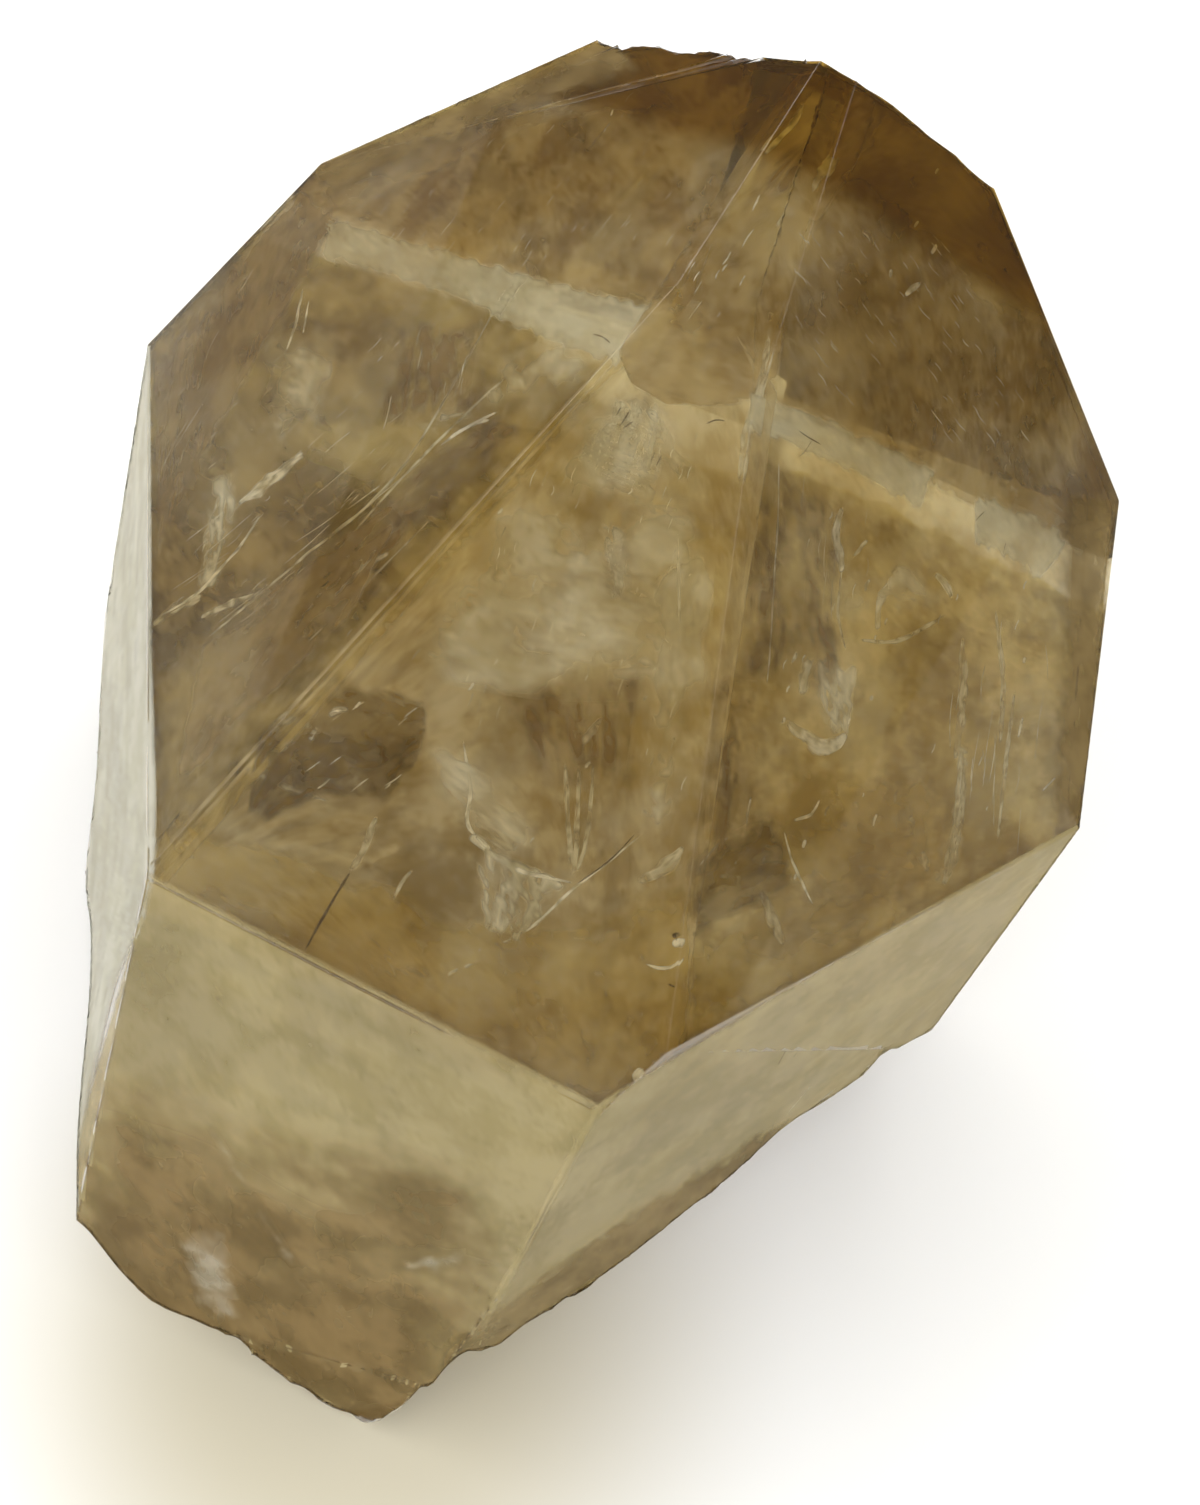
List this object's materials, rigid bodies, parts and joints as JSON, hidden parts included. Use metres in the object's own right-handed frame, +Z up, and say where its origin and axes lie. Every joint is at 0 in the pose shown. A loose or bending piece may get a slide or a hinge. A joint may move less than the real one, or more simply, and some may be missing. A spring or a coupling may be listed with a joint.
{
  "type": "smoky citrine crystal",
  "caption": "single natural quartz point of smoky citrine, six-sided with a slanting tip, broken at base and summit, lying on its broken base",
  "frame": {"origin": "middle of the crystal's box, on the surface that it lies on", "axes": "+Z up, +Y away from the viewer of the three tip faces, +X to their right"},
  "size_m": [0.0838, 0.0916, 0.0715],
  "materials": {
    "smoky_citrine": "clear to cloudy smoky citrine, natural glassy crystal faces, conchoidal breaks at base, rear and summit"
  },
  "bodies": {
    "root": {"citrine_crystal": "smoky_citrine"}
  },
  "joints": []
}
